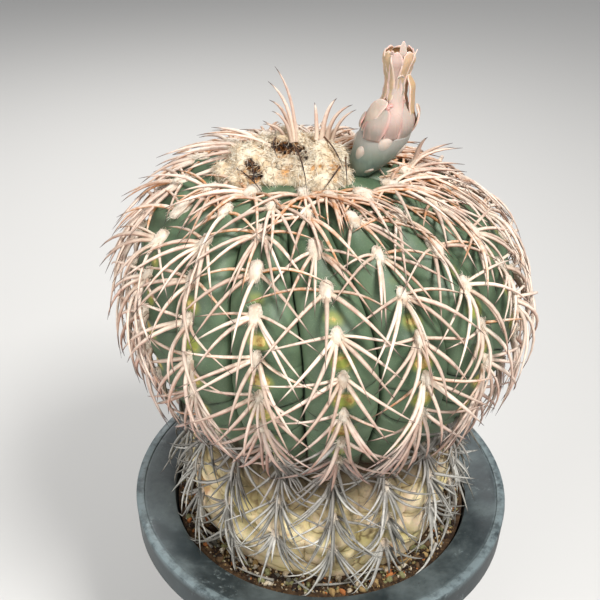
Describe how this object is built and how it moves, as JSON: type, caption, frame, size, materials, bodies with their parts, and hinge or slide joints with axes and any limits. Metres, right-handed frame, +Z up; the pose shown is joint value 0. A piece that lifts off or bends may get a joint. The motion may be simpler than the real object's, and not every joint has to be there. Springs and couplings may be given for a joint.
{
  "type": "potted round cactus",
  "caption": "Round ribbed cactus with long curved spines, a woolly crown and a closed flower, growing on a corky trunk in a plain round plastic pot of gritty soil.",
  "frame": {"origin": "centre of the flat underside of the pot", "axes": "+Z up along the axis of the pot, -Y towards the viewer of the picture, +X to that viewer's right, the side that the flower leans to"},
  "size_m": [0.1888, 0.1845, 0.3633],
  "materials": {
    "pot_plastic": "satin",
    "soil": "matte",
    "cactus_skin": "satin",
    "spines": "satin",
    "wool": "matte",
    "flower_tube": "satin",
    "petals": "satin"
  },
  "bodies": {
    "root": {"pot": "pot_plastic", "soil": "soil", "cactus": "cactus_skin", "crown_wool": "wool", "flower_tube": "flower_tube", "flower_petals": "petals"}
  },
  "joints": []
}
